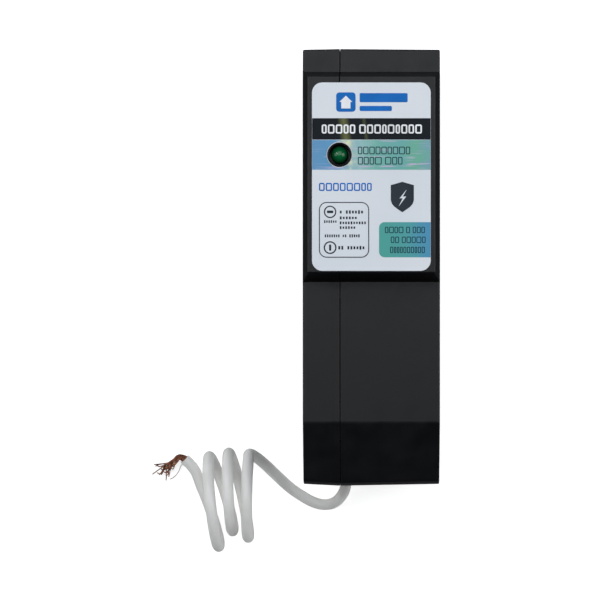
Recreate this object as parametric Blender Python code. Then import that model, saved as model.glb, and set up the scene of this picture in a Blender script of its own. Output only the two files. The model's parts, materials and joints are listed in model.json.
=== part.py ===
"""Whole house surge protector: a two-pole plug-on unit for a load centre.

The unit lies on its back. The origin is the middle of the back face, +Z points out of the
label, +Y points to the bus end with the line jaws, and X runs across the two poles.
"""
import math

import bmesh
import bpy
from mathutils import Matrix, Vector

MM = 0.001

# ---- driving dimensions ----------------------------------------------------------------
POLE_PITCH = 19.05 * MM              # a three-quarter inch pole space
WIDTH = 2 * POLE_PITCH
SHOULDER_Z = 56.0 * MM               # where the dead front lies
NOSE_Z = 66.0 * MM                   # the label face
WALL = 2.0 * MM
SEAM_X = -8.7 * MM                   # parting line between the two shells
GAP = 0.3 * MM                       # clearance between touching pieces

BUS_END_Y = 61.4 * MM
HALF_WIDTH = WIDTH / 2
BUS_END_DRAFT = 0.2 * MM             # each end falls back from the parting line
TAIL_END_DRAFT = 0.5 * MM

NOSE_BASE_TOP_Y = 55.0 * MM
NOSE_TOP_Y = 53.1 * MM
NOSE_BOTTOM_Y = -0.8 * MM
NOSE_BASE_BOTTOM_Y = -3.3 * MM
NOSE_HALF_WIDTH = 17.6 * MM
NOSE_SIDE_LAND = 0.3 * MM            # straight strip of side wall above the shoulder

TAIL_SLOPE_Y = -42.3 * MM            # where the slanted tail begins
TAIL_LIP_Y = -59.6 * MM
TAIL_LIP_Z = 50.4 * MM
TAIL_END_Y = -60.6 * MM
TAIL_END_Z = 48.9 * MM
TAIL_UNDERSIDE_Z = 5.0 * MM          # stepped up over the wiring gutter

RAIL_STEP_Y = -14.6 * MM
RAIL_FOOT_Y = -19.6 * MM
RAIL_FOOT_THICKNESS = 2.4 * MM

JAW_SLOT_TOP_Y = 55.5 * MM
JAW_SLOT_BOTTOM_Y = 46.5 * MM
JAW_SLOT_DEPTH = 15.0 * MM
JAW_Y = (JAW_SLOT_TOP_Y + JAW_SLOT_BOTTOM_Y) / 2
JAW_WIDTH = 13.0 * MM
JAW_ROOT_Z = 14.4 * MM
JAW_THICKNESS = 1.0 * MM
JAW_SPRING_WIDTH = 8.0 * MM
JAW_SPRING_THICKNESS = 0.6 * MM
# Half of the jaw's side as (distance from its middle, height) in mm, and one leaf spring's.
JAW_CHEEK = [(3.0, 5.0), (1.5, 8.0), (2.5, 11.0)]
JAW_CHEEK_ROOT_Y = 2.5 * MM
JAW_LEAF = [(3.0, 7.4), (3.65, 9.6), (3.7, 13.6)]

STRAP_WIDTH = 4.0 * MM
STRAP_THICKNESS = 1.0 * MM
STRAP_BEND_Z = 19.0 * MM
STRAP_REACH = 4.5 * MM               # how far the strap's foot runs under the fuse

LABEL_HALF_WIDTH = 16.2 * MM
LABEL_TOP_Y = 51.2 * MM
LABEL_BOTTOM_Y = -0.2 * MM
LABEL_CORNER = 2.8 * MM
LABEL_LIFT = 0.06 * MM
LABEL_THICKNESS = 0.14 * MM

LED_Y = 31.5 * MM
LED_RADIUS = 2.45 * MM
LED_TOP_Z = 67.0 * MM
LED_BASE_Z = 58.4 * MM
BEZEL_BORE = 2.8 * MM
BEZEL_BARREL = 3.05 * MM
BEZEL_FLANGE = 3.3 * MM
BEZEL_DEPTH = 2.6 * MM               # how far its barrel reaches below the nose face
BEZEL_RIM = 0.5 * MM                 # how far it stands above the label
BEZEL_CHAMFER = 0.2 * MM
LED_HOLE = 3.4 * MM
LED_COLLAR = 0.25 * MM               # how far the lens's base stands out from its dome
LED_COLLAR_HEIGHT = 1.0 * MM
LED_LEAD = 0.5 * MM
LED_LEADS = [("led_lead_long", -1.27 * MM, 47.0 * MM), ("led_lead_short", 1.27 * MM, 49.0 * MM)]
LED_LEAD_BEND_Z = [55.0 * MM, 52.5 * MM]
LABEL_HOLE = 3.55 * MM

WIRE_DIAMETER = 3.3 * MM
WIRE_RADIUS = WIRE_DIAMETER / 2
WIRE_EXIT = Vector((-7.5, -60.6, 10.6)) * MM
BUSHING_BORE = 1.95 * MM
BUSHING_BARREL = 2.5 * MM
BUSHING_FLANGE = 3.3 * MM
BUSHING_FLANGE_THICKNESS = 0.7 * MM
BUSHING_HOLE = 2.8 * MM

RIVET_RADIUS = 1.5 * MM
RIVET_HEAD = 2.7 * MM
RIVET_HEAD_THICKNESS = 0.8 * MM
RIVET_PLACES = [
    (42.0 * MM, 50.0 * MM), (39.0 * MM, 8.0 * MM), (-8.0 * MM, 7.4 * MM), (-52.0 * MM, 36.0 * MM),
]
BOSS_RADIUS = 3.4 * MM
RIVET_BORE = RIVET_RADIUS + GAP
RIVET_SINK = RIVET_HEAD + GAP
RIVET_SINK_DEPTH = RIVET_HEAD_THICKNESS + GAP

BOARD_X = -5.8 * MM                  # left face of the circuit board
BOARD_THICKNESS = 1.6 * MM
# Corners of the board as (y, z) in mm; the steps clear the case's boss and its slanted tail.
BOARD_OUTLINE = [
    (-46.0, 12.0), (34.0, 12.0), (34.0, 44.0), (36.5, 46.5), (36.5, 56.0), (25.0, 56.0),
    (25.0, 51.0), (-42.0, 51.0), (-46.0, 47.0),
]
CAPACITOR_THICKNESS = 8.5 * MM
CAPACITOR_LOW = (-8.0 * MM, 20.0 * MM)
CAPACITOR_HIGH = (10.0 * MM, 36.0 * MM)
RESISTOR_PLACES = [(20.0 * MM, 26.0 * MM), (20.0 * MM, 32.0 * MM), (20.0 * MM, 38.0 * MM)]
RESISTOR_RADIUS = 1.4 * MM
RESISTOR_LENGTH = 9.0 * MM
DIODE_PLACE = (6.0 * MM, 43.0 * MM)
DIODE_RADIUS = 1.3 * MM
DIODE_LENGTH = 5.4 * MM
TERMINAL_THICKNESS = 4.2 * MM
TERMINAL_LOW = (-44.5 * MM, 14.0 * MM)
TERMINAL_HIGH = (-39.5 * MM, 20.0 * MM)
BARRIER_LOW = (-0.4 * MM, 39.0 * MM, 18.0 * MM)
BARRIER_HIGH = (0.0, 58.5 * MM, 45.0 * MM)

BLOCK_X = 1.0 * MM                   # left face of the line varistors
BLOCK_THICKNESS = 6.5 * MM
BLOCK_SIDE = 34.0 * MM
BLOCK_CORNER = 5.0 * MM
BLOCK_CENTRES = [(19.0 * MM, 34.0 * MM), (-19.0 * MM, 31.0 * MM)]
DISC_CENTRE = (-28.0 * MM, 31.0 * MM)
DISC_RADIUS = 10.0 * MM
DISC_FLAT_RADIUS = 8.8 * MM          # where the round varistor's edge starts to roll over
DISC_HALF_THICKNESS = 2.3 * MM
DISC_HALF_RIM = 1.3 * MM

ARM_PIVOTS = [(33.0 * MM, 45.0 * MM), (-5.5 * MM, 42.0 * MM)]
ARM_X = 9.0 * MM
ARM_LENGTH = 19.0 * MM
ARM_WIDTH = 3.4 * MM
ARM_THICKNESS = 0.8 * MM
ARM_CORNER = 1.2 * MM
SOLDER_TAB_HALF = 2.0 * MM
SOLDER_TAB_INSET = 2.5 * MM          # from the arm's tip to the middle of its solder tab
HUB_RADIUS = 2.5 * MM
HUB_LENGTH = 1.6 * MM
PIN_RADIUS = 1.0 * MM
PIN_HEAD_RADIUS = 1.8 * MM
PIN_HEAD_THICKNESS = 0.9 * MM
PIN_SEAT_DEPTH = 2.2 * MM
POST_RADIUS = 3.0 * MM
POST_FACE_X = 14.4 * MM

SPRING_COIL_RADIUS = 1.9 * MM
SPRING_WIRE_RADIUS = 0.3 * MM
SPRING_TURNS = 3
SPRING_POINTS_PER_TURN = 12
SPRING_CLEARANCE = 0.7 * MM          # from each end of the spring to the hub and to the post
SPRING_ARM_LEG = 7.0 * MM
SPRING_CASE_LEG = 5.0 * MM

BRAID_RADIUS = 0.6 * MM
# Each braid in mm, from its fuse link or board side to the back of its arm.
BRAID_ROUTES = [
    [(12.6, 36.6, 41.2), (12.0, 34.6, 39.6), (10.6, 31.0, 40.2), (9.4, 29.4, 42.7)],
    [(-3.4, 0.0, 46.0), (0.5, 0.0, 49.6), (6.0, 0.0, 49.4), (9.3, -3.0, 46.2)],
]

FUSE_RADIUS = 3.6 * MM
FUSE_CAP_RADIUS = 3.9 * MM
FUSE_CAP_LENGTH = 5.0 * MM
FUSE_BODY_LENGTH = 11.0 * MM
FUSE_CORNER = 0.4 * MM
FUSE_Y = 52.0 * MM
LINK_OVERLAP = 2.0 * MM              # how far a link reaches past its fuse's middle
LINK_END_Y = 38.0 * MM
LINK_SIDE_STEP = 3.0 * MM            # pole 1's link stands off its pole's middle by this much

COIL_RING_CENTRE = Vector((-42.1, -67.4, 14.7)) * MM
COIL_RING_HALF_LENGTH = 7.7 * MM
COIL_RING_OUTER = 14.7 * MM
COIL_RING_INNER = 10.4 * MM
# Centre lines of the neutral lead's stretches in mm, from the board to the bare end.
INNER_ROUTE = [
    (-7.5, -59.8, 10.6), (-7.5, -57.6, 10.6), (-7.5, -54.6, 10.8), (-7.9, -50.4, 13.2),
    (-8.2, -45.9, 17.0),
]
LEAD_ROUTE = [
    (-7.5, -60.8, 10.6), (-7.5, -63.0, 10.6), (-8.0, -65.8, 9.6), (-9.6, -68.6, 7.2),
    (-11.9, -70.4, 4.6), (-14.8, -70.9, 2.8), (-18.1, -70.0, 1.9), (-21.3, -68.2, 1.75),
    (-25.0, -65.6, 1.75), (-29.1, -61.7, 2.5), (-32.0, -58.6, 4.8),
]
TAIL_ROUTE = [(-51.9, -64.6, 1.75), (-53.0, -61.5, 1.75), (-54.5, -59.2, 1.9), (-56.4, -57.2, 2.3)]
STRAND_ROUTE = [(-57.4, -56.6, 2.4), (-59.4, -57.3, 2.6), (-61.5, -59.3, 2.4), (-63.2, -60.9, 1.9)]
STRAND_BUNDLE_RADIUS = 0.95 * MM
STRAND_SPACING = 2.4 * MM
BRAID_SPACING = 1.2 * MM

# ---- materials ------------------------------------------------------------------------
# name: (colour, roughness, metallic)
MATERIALS = {
    "black_plastic": ((0.018, 0.019, 0.021, 1.0), 0.5, 0.0),
    "printed_label": ((0.62, 0.66, 0.7, 1.0), 0.35, 0.0),
    "green_lens": ((0.0, 0.16, 0.03, 1.0), 0.12, 0.0),
    "tinned_copper": ((0.7, 0.68, 0.64, 1.0), 0.3, 1.0),
    "spring_steel": ((0.5, 0.5, 0.5, 1.0), 0.3, 1.0),
    "brass": ((0.7, 0.52, 0.25, 1.0), 0.3, 1.0),
    "green_laminate": ((0.03, 0.16, 0.07, 1.0), 0.5, 0.0),
    "blue_epoxy": ((0.03, 0.1, 0.32, 1.0), 0.4, 0.0),
    "white_ceramic": ((0.75, 0.74, 0.7, 1.0), 0.45, 0.0),
    "yellow_film": ((0.7, 0.5, 0.05, 1.0), 0.45, 0.0),
    "tan_epoxy": ((0.55, 0.4, 0.24, 1.0), 0.5, 0.0),
    "grey_board": ((0.3, 0.3, 0.3, 1.0), 0.8, 0.0),
    "white_insulation": ((0.58, 0.6, 0.59, 1.0), 0.4, 0.0),
    "bare_copper": ((0.45, 0.2, 0.12, 1.0), 0.35, 1.0),
}


def material(name):
    """Return the named Principled material, making it on first use."""
    found = bpy.data.materials.get(name)
    if found:
        return found
    colour, roughness, metallic = MATERIALS[name]
    made = bpy.data.materials.new(name)
    made.use_nodes = True
    shader = made.node_tree.nodes["Principled BSDF"]
    shader.inputs["Base Color"].default_value = colour
    shader.inputs["Roughness"].default_value = roughness
    shader.inputs["Metallic"].default_value = metallic
    return made


# ---- mesh helpers ---------------------------------------------------------------------
def add_object(name, mesh_data, material_name, origin=(0.0, 0.0, 0.0)):
    """Link a mesh as an object whose origin is `origin`, with world-space vertices kept."""
    mesh_data.transform(Matrix.Translation(-Vector(origin)))
    made = bpy.data.objects.new(name, mesh_data)
    made.location = origin
    mesh_data.materials.append(material(material_name))
    bpy.context.collection.objects.link(made)
    return made


def mesh_from(bm, name, smooth=False):
    """Close a bmesh into a mesh with its faces pointing out."""
    bmesh.ops.recalc_face_normals(bm, faces=bm.faces)
    made = bpy.data.meshes.new(name)
    bm.to_mesh(made)
    bm.free()
    if smooth:
        made.shade_smooth()
        made.set_sharp_from_angle(angle=math.radians(40))
    return made


def loft(first, second):
    """A bmesh between two matching closed loops of points, capped at both ends."""
    bm = bmesh.new()
    loops = [[bm.verts.new(point) for point in loop] for loop in (first, second)]
    count = len(first)
    bm.faces.new(loops[0])
    bm.faces.new(loops[1])
    for index in range(count):
        after = (index + 1) % count
        bm.faces.new((loops[0][index], loops[0][after], loops[1][after], loops[1][index]))
    return bm


def prism(name, outline, low, high, axis="X", smooth=False):
    """Extrude a closed outline along an axis; the outline's pair is the other two axes in order."""
    place = {
        "X": lambda a, b, level: (level, a, b),
        "Y": lambda a, b, level: (a, level, b),
        "Z": lambda a, b, level: (a, b, level),
    }[axis]
    ends = [[place(a, b, level) for a, b in outline] for level in (low, high)]
    return mesh_from(loft(*ends), name, smooth)


def circle(centre, radius, segments=24):
    """Points of a circle in a plane, as pairs."""
    step = 2 * math.pi / segments
    return [(centre[0] + radius * math.cos(i * step), centre[1] + radius * math.sin(i * step))
            for i in range(segments)]


def rounded_rectangle(low, high, radius, steps=4):
    """Outline of a rectangle with round corners, as pairs."""
    corners = [(high[0] - radius, high[1] - radius, 0), (low[0] + radius, high[1] - radius, 90),
               (low[0] + radius, low[1] + radius, 180), (high[0] - radius, low[1] + radius, 270)]
    points = []
    for a, b, start in corners:
        for i in range(steps + 1):
            angle = math.radians(start + 90 * i / steps)
            points.append((a + radius * math.cos(angle), b + radius * math.sin(angle)))
    return points


def rectangle(low, high):
    """Outline of a plain rectangle, as pairs."""
    return [(low[0], low[1]), (high[0], low[1]), (high[0], high[1]), (low[0], high[1])]


def strip_outline(path, thickness):
    """Closed outline of a bent strip of one thickness that follows an open path of pairs."""
    points = [Vector(point) for point in path]
    sides = ([], [])
    for index, point in enumerate(points):
        before = points[max(index - 1, 0)]
        after = points[min(index + 1, len(points) - 1)]
        into = (point - before).normalized() if index else (after - point).normalized()
        out = (after - point).normalized() if index < len(points) - 1 else into
        normal = Vector((-into.y - out.y, into.x + out.x)).normalized()
        reach = thickness / 2 / max(normal.dot(Vector((-into.y, into.x))), 0.3)
        sides[0].append(tuple(point + normal * reach))
        sides[1].append(tuple(point - normal * reach))
    return sides[0] + sides[1][::-1]


def box(name, low, high):
    """A plain block between two corners."""
    return prism(name, rectangle(low[1:], high[1:]), low[0], high[0])


def turned(name, profile, centre, axis="Z", segments=32):
    """Turn a closed profile of (radius, height) pairs about an axis through `centre`."""
    bm = bmesh.new()
    rings = []
    for i in range(segments):
        angle = 2 * math.pi * i / segments
        rings.append([bm.verts.new((radius * math.cos(angle), radius * math.sin(angle), height))
                      for radius, height in profile])
    for i in range(segments):
        here, there = rings[i], rings[(i + 1) % segments]
        for j in range(len(profile)):
            after = (j + 1) % len(profile)
            bm.faces.new((here[j], there[j], there[after], here[after]))
    bmesh.ops.remove_doubles(bm, verts=bm.verts, dist=1e-6)
    turn = {"Z": Matrix.Identity(4), "X": Matrix.Rotation(math.pi / 2, 4, "Y"),
            "Y": Matrix.Rotation(-math.pi / 2, 4, "X")}[axis]
    bmesh.ops.transform(bm, matrix=Matrix.Translation(Vector(centre)) @ turn, verts=bm.verts)
    return mesh_from(bm, name, smooth=True)


def smooth_path(route, spacing):
    """Points at an even spacing along a centripetal Catmull-Rom curve through the route."""
    points = [Vector(point) for point in route]
    points = [2 * points[0] - points[1]] + points + [2 * points[-1] - points[-2]]
    fine = []
    for i in range(1, len(points) - 2):
        p0, p1, p2, p3 = points[i - 1:i + 3]
        t1 = (p1 - p0).length ** 0.5
        t2 = t1 + (p2 - p1).length ** 0.5
        t3 = t2 + (p3 - p2).length ** 0.5
        for k in range(16):
            t = t1 + (t2 - t1) * k / 16
            a1 = p0.lerp(p1, t / t1)
            a2 = p1.lerp(p2, (t - t1) / (t2 - t1))
            a3 = p2.lerp(p3, (t - t2) / (t3 - t2))
            fine.append(a1.lerp(a2, t / t2).lerp(a2.lerp(a3, (t - t1) / (t3 - t1)), (t - t1) / (t2 - t1)))
    fine.append(points[-2])
    travelled = [0.0]
    for before, after in zip(fine, fine[1:]):
        travelled.append(travelled[-1] + (after - before).length)
    count = max(round(travelled[-1] / spacing), 2)
    even = []
    index = 0
    for step in range(count + 1):
        target = travelled[-1] * step / count
        while index < len(fine) - 2 and travelled[index + 1] < target:
            index += 1
        share = (target - travelled[index]) / (travelled[index + 1] - travelled[index])
        even.append(fine[index].lerp(fine[index + 1], share))
    return even


def in_metres(route):
    """A route given in mm, in metres."""
    return [tuple(value * MM for value in point) for point in route]


def tube(name, points, radius, material_name, resolution=2):
    """A round tube along a poly line, with filled caps."""
    data = bpy.data.curves.new(name, "CURVE")
    data.dimensions = "3D"
    data.bevel_depth = radius
    data.bevel_resolution = resolution
    data.use_fill_caps = True
    spline = data.splines.new("POLY")
    spline.points.add(len(points) - 1)
    for target, point in zip(spline.points, points):
        target.co = (*point, 1.0)
    made = bpy.data.objects.new(name, data)
    data.materials.append(material(material_name))
    bpy.context.collection.objects.link(made)
    return made


def combine(target, mesh_data, operation):
    """Add a hidden cutter object and the Boolean modifier that uses it on `target`."""
    tool = bpy.data.objects.new("tool_" + mesh_data.name, mesh_data)
    tool.hide_render = True
    tool.display_type = "WIRE"
    bpy.context.collection.objects.link(tool)
    modifier = target.modifiers.new(operation.title(), "BOOLEAN")
    modifier.operation = operation
    modifier.solver = "EXACT"
    modifier.object = tool


def cut(target, mesh_data):
    combine(target, mesh_data, "DIFFERENCE")


def join(target, mesh_data):
    combine(target, mesh_data, "UNION")


# ---- the case -------------------------------------------------------------------------
def case_outline(draft_share):
    """Side outline of the whole case as (y, z), with a share of the end draft taken off."""
    bus_y = BUS_END_Y - BUS_END_DRAFT * draft_share
    tail_y = TAIL_END_Y + TAIL_END_DRAFT * draft_share
    lip_y = TAIL_LIP_Y + TAIL_END_DRAFT * draft_share
    return [
        (bus_y, 0.0), (bus_y, SHOULDER_Z), (NOSE_BASE_TOP_Y, SHOULDER_Z), (NOSE_TOP_Y, NOSE_Z),
        (NOSE_BOTTOM_Y, NOSE_Z), (NOSE_BASE_BOTTOM_Y, SHOULDER_Z), (TAIL_SLOPE_Y, SHOULDER_Z),
        (lip_y, TAIL_LIP_Z), (tail_y, TAIL_END_Z), (tail_y, TAIL_UNDERSIDE_Z),
        (RAIL_STEP_Y, TAIL_UNDERSIDE_Z), (RAIL_STEP_Y, RAIL_FOOT_THICKNESS),
        (RAIL_FOOT_Y, RAIL_FOOT_THICKNESS), (RAIL_FOOT_Y, 0.0),
        (JAW_SLOT_BOTTOM_Y, 0.0), (JAW_SLOT_BOTTOM_Y, JAW_SLOT_DEPTH),
        (JAW_SLOT_TOP_Y, JAW_SLOT_DEPTH), (JAW_SLOT_TOP_Y, 0.0),
    ]


def cavity_outline():
    """Side outline of the hollow inside the case as (y, z)."""
    back, under = 0.8 * MM, 1.4 * MM
    return [
        (BUS_END_Y - WALL, JAW_SLOT_DEPTH + WALL), (BUS_END_Y - WALL, SHOULDER_Z - WALL),
        (NOSE_BASE_TOP_Y - WALL, SHOULDER_Z - WALL), (NOSE_TOP_Y - WALL, NOSE_Z - WALL),
        (NOSE_BOTTOM_Y + WALL, NOSE_Z - WALL), (NOSE_BASE_BOTTOM_Y + WALL, SHOULDER_Z - WALL),
        (TAIL_SLOPE_Y + back, SHOULDER_Z - WALL), (TAIL_LIP_Y + WALL, TAIL_LIP_Z - under),
        (TAIL_LIP_Y + WALL, TAIL_UNDERSIDE_Z + WALL), (RAIL_STEP_Y + WALL, TAIL_UNDERSIDE_Z + WALL),
        (RAIL_STEP_Y + WALL, WALL), (JAW_SLOT_BOTTOM_Y - WALL, WALL),
        (JAW_SLOT_BOTTOM_Y - WALL, JAW_SLOT_DEPTH + WALL),
    ]


def build_shell(name, side, seam_x):
    """One half of the case: side is +1 for the deep right shell and -1 for the left cover."""
    outer_x = side * HALF_WIDTH
    seam_loop = [(seam_x, y, z) for y, z in case_outline(0.0)]
    outer_loop = [(outer_x, y, z) for y, z in case_outline(1.0)]
    shell = add_object(name, mesh_from(loft(seam_loop, outer_loop), name), "black_plastic")

    cut(shell, prism("hollow_" + name, cavity_outline(), seam_x - side * WALL, outer_x - side * WALL))

    # The nose leans in towards the label face on its outer side.
    land = SHOULDER_Z + NOSE_SIDE_LAND
    above = NOSE_Z + WALL
    lean = (HALF_WIDTH - NOSE_HALF_WIDTH) / (NOSE_Z - land)
    wedge = [(outer_x, land), (outer_x - side * lean * (above - land), above),
             (outer_x + side * WALL, above), (outer_x + side * WALL, land)]
    cut(shell, prism("lean_" + name, wedge, NOSE_BASE_BOTTOM_Y - WALL, NOSE_BASE_TOP_Y + WALL, "Y"))

    for number, place in enumerate(RIVET_PLACES, 1):
        tag = f"{name}_{number}"
        join(shell, prism("boss_" + tag, circle(place, BOSS_RADIUS), seam_x, outer_x - side * WALL / 2))
        cut(shell, prism("bore_" + tag, circle(place, RIVET_BORE), seam_x - side * WALL,
                         outer_x + side * WALL))
        cut(shell, prism("sink_" + tag, circle(place, RIVET_SINK), outer_x - side * RIVET_SINK_DEPTH,
                         outer_x + side * WALL))

    led_hole = circle((SEAM_X, LED_Y), LED_HOLE, 32)
    cut(shell, prism("led_hole_" + name, led_hole, NOSE_Z - 2 * WALL, NOSE_Z + WALL, "Z"))
    wire_hole = circle((WIRE_EXIT.x, WIRE_EXIT.z), BUSHING_HOLE, 24)
    cut(shell, prism("wire_hole_" + name, wire_hole, TAIL_END_Y - WALL, TAIL_LIP_Y + 2 * WALL, "Y"))
    return shell


def build_case():
    """Both shells, with the strap slots and the two pivot posts of the right one."""
    main_case = build_shell("main_case", 1, SEAM_X + GAP / 2)
    side_cover = build_shell("side_cover", -1, SEAM_X - GAP / 2)
    for number, x in enumerate((POLE_PITCH / 2, -POLE_PITCH / 2), 1):
        half = STRAP_WIDTH / 2 + GAP
        slot = rectangle((x - half, JAW_Y - half / 2), (x + half, JAW_Y + half / 2))
        for shell in (main_case, side_cover):
            cut(shell, prism(f"strap_slot_{shell.name}_{number}", slot, JAW_SLOT_DEPTH - WALL,
                             JAW_SLOT_DEPTH + 2 * WALL, "Z"))
    for number, place in enumerate(ARM_PIVOTS, 1):
        join(main_case, prism(f"post_{number}", circle(place, POST_RADIUS), POST_FACE_X,
                              HALF_WIDTH - WALL / 2))
        cut(main_case, prism(f"pin_bore_{number}", circle(place, PIN_RADIUS + GAP, 16),
                             POST_FACE_X - WALL, POST_FACE_X + PIN_SEAT_DEPTH + GAP))


def build_rivets():
    """Four tubular rivets across both shells, with a head on each side."""
    reach = HALF_WIDTH - GAP / 2
    neck = reach - RIVET_HEAD_THICKNESS
    profile = [(0.0, -reach), (RIVET_HEAD, -reach), (RIVET_HEAD, -neck), (RIVET_RADIUS, -neck),
               (RIVET_RADIUS, neck), (RIVET_HEAD, neck), (RIVET_HEAD, reach), (0.0, reach)]
    for number, (y, z) in enumerate(RIVET_PLACES, 1):
        mesh_data = turned(f"case_rivet_{number}", profile, (0.0, y, z), "X", 20)
        add_object(f"case_rivet_{number}", mesh_data, "spring_steel", (0.0, y, z))


# ---- label and indicator lamp ---------------------------------------------------------
def build_label():
    """The printed foil label, with a round hole for the lamp."""
    outline = rounded_rectangle((-LABEL_HALF_WIDTH, LABEL_BOTTOM_Y), (LABEL_HALF_WIDTH, LABEL_TOP_Y),
                                LABEL_CORNER)
    base = NOSE_Z + LABEL_LIFT
    label = add_object("rating_label", prism("rating_label", outline, base, base + LABEL_THICKNESS, "Z"),
                       "printed_label")
    hole = circle((SEAM_X, LED_Y), LABEL_HOLE, 32)
    cut(label, prism("label_hole", hole, NOSE_Z - WALL, NOSE_Z + WALL, "Z"))


def build_lamp():
    """The lamp's holder, its green dome and its two leads."""
    flange_z = NOSE_Z + LABEL_LIFT + LABEL_THICKNESS
    rim_z = flange_z + BEZEL_RIM
    foot_z = NOSE_Z - BEZEL_DEPTH
    step_z = NOSE_Z - 2 * BEZEL_CHAMFER
    bezel = [(BEZEL_BORE, foot_z), (BEZEL_BARREL, foot_z), (BEZEL_BARREL, step_z), (BEZEL_FLANGE, step_z),
             (BEZEL_FLANGE, rim_z - BEZEL_CHAMFER), (BEZEL_FLANGE - BEZEL_CHAMFER, rim_z),
             (BEZEL_BORE, rim_z)]
    add_object("led_bezel", turned("led_bezel", bezel, (SEAM_X, LED_Y, 0.0)), "black_plastic")

    collar = LED_RADIUS + LED_COLLAR
    collar_z = LED_BASE_Z + LED_COLLAR_HEIGHT
    dome = [(0.0, LED_BASE_Z), (collar, LED_BASE_Z), (collar, collar_z), (LED_RADIUS, collar_z)]
    spring_z = LED_TOP_Z - LED_RADIUS
    steps = 6
    for step in range(steps + 1):
        angle = math.pi / 2 * step / steps
        dome.append((LED_RADIUS * math.cos(angle), spring_z + LED_RADIUS * math.sin(angle)))
    dome[-1] = (0.0, LED_TOP_Z)
    add_object("led_lens", turned("led_lens", dome, (SEAM_X, LED_Y, 0.0), segments=28), "green_lens")

    half = LED_LEAD / 2
    board_side = BOARD_X - GAP - half
    for name, offset, foot_z in LED_LEADS:
        lead_y = LED_Y + offset
        path = [(SEAM_X, LED_BASE_Z - GAP), (SEAM_X, LED_LEAD_BEND_Z[0]), (board_side, LED_LEAD_BEND_Z[1]),
                (board_side, foot_z)]
        add_object(name, prism(name, strip_outline(path, LED_LEAD), lead_y - half, lead_y + half, "Y"),
                   "tinned_copper")


# ---- line side: jaws, straps and fuses ------------------------------------------------
def add_strip(name, outline, middle_x, width, finish):
    """A flat or bent metal strip of one width, with its outline as (y, z)."""
    mesh_data = prism(name, outline, middle_x - width / 2, middle_x + width / 2)
    add_object(name, mesh_data, finish)


def build_pole(number, centre_x, link_x):
    """One pole's jaw, leaf springs, strap, fuse and fuse link."""
    root = JAW_ROOT_Z - JAW_THICKNESS / 2
    bus_side = [(JAW_Y + a * MM, b * MM) for a, b in JAW_CHEEK] + [(JAW_Y + JAW_CHEEK_ROOT_Y, root)]
    tail_side = [(2 * JAW_Y - y, z) for y, z in reversed(bus_side)]
    jaw = strip_outline(bus_side + tail_side, JAW_THICKNESS)
    add_strip(f"line_jaw_{number}", jaw, centre_x, JAW_WIDTH, "tinned_copper")

    for name, direction in ((f"jaw_spring_{number}_bus", 1), (f"jaw_spring_{number}_tail", -1)):
        leaf = [(JAW_Y + direction * a * MM, b * MM) for a, b in JAW_LEAF]
        add_strip(name, strip_outline(leaf, JAW_SPRING_THICKNESS), centre_x, JAW_SPRING_WIDTH,
                  "spring_steel")

    strap = [(JAW_Y, JAW_ROOT_Z + GAP), (JAW_Y, STRAP_BEND_Z), (JAW_Y + STRAP_REACH, STRAP_BEND_Z)]
    add_strip(f"line_strap_{number}", strip_outline(strap, STRAP_THICKNESS), centre_x, STRAP_WIDTH,
              "tinned_copper")

    z = STRAP_BEND_Z + STRAP_THICKNESS / 2 + GAP
    pieces = (("cap_lower", FUSE_CAP_RADIUS, FUSE_CAP_LENGTH, "tinned_copper"),
              ("body", FUSE_RADIUS, FUSE_BODY_LENGTH, "white_ceramic"),
              ("cap_upper", FUSE_CAP_RADIUS, FUSE_CAP_LENGTH, "tinned_copper"))
    for part, radius, length, finish in pieces:
        name = f"line_fuse_{number}_{part}"
        top = z + length
        inner = radius - FUSE_CORNER
        profile = [(0.0, z), (inner, z), (radius, z + FUSE_CORNER), (radius, top - FUSE_CORNER),
                   (inner, top), (0.0, top)]
        add_object(name, turned(name, profile, (centre_x, FUSE_Y, 0.0), segments=20), finish)
        z = top + GAP

    link = rectangle((LINK_END_Y, z), (FUSE_Y + LINK_OVERLAP, z + STRAP_THICKNESS))
    add_strip(f"fuse_link_{number}", link, link_x, STRAP_WIDTH, "tinned_copper")


# ---- varistors and their thermal disconnectors ----------------------------------------
def build_varistors():
    """Two square line varistors, each with a solder tab, and a round one between the lines."""
    half = BLOCK_SIDE / 2
    for number, (y, z) in enumerate(BLOCK_CENTRES, 1):
        outline = rounded_rectangle((y - half, z - half), (y + half, z + half), BLOCK_CORNER)
        add_object(f"varistor_{number}", prism(f"varistor_{number}", outline, BLOCK_X,
                   BLOCK_X + BLOCK_THICKNESS, smooth=True), "blue_epoxy")
        pivot_y, pivot_z = ARM_PIVOTS[number - 1]
        tab_y = pivot_y - ARM_LENGTH + SOLDER_TAB_INSET
        tab = SOLDER_TAB_HALF
        low = (BLOCK_X + BLOCK_THICKNESS + GAP, tab_y - tab, pivot_z - tab)
        high = (ARM_X - GAP, tab_y + tab, pivot_z + tab)
        add_object(f"solder_tab_{number}", box(f"solder_tab_{number}", low, high), "tinned_copper")

    half = DISC_HALF_THICKNESS
    rim = DISC_HALF_RIM
    profile = [(0.0, -half), (DISC_FLAT_RADIUS, -half), (DISC_RADIUS, -rim), (DISC_RADIUS, rim),
               (DISC_FLAT_RADIUS, half), (0.0, half)]
    centre = (BOARD_X - half - GAP, *DISC_CENTRE)
    add_object("varistor_between_lines", turned("varistor_between_lines", profile, centre, "X", 28),
               "blue_epoxy")


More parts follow.
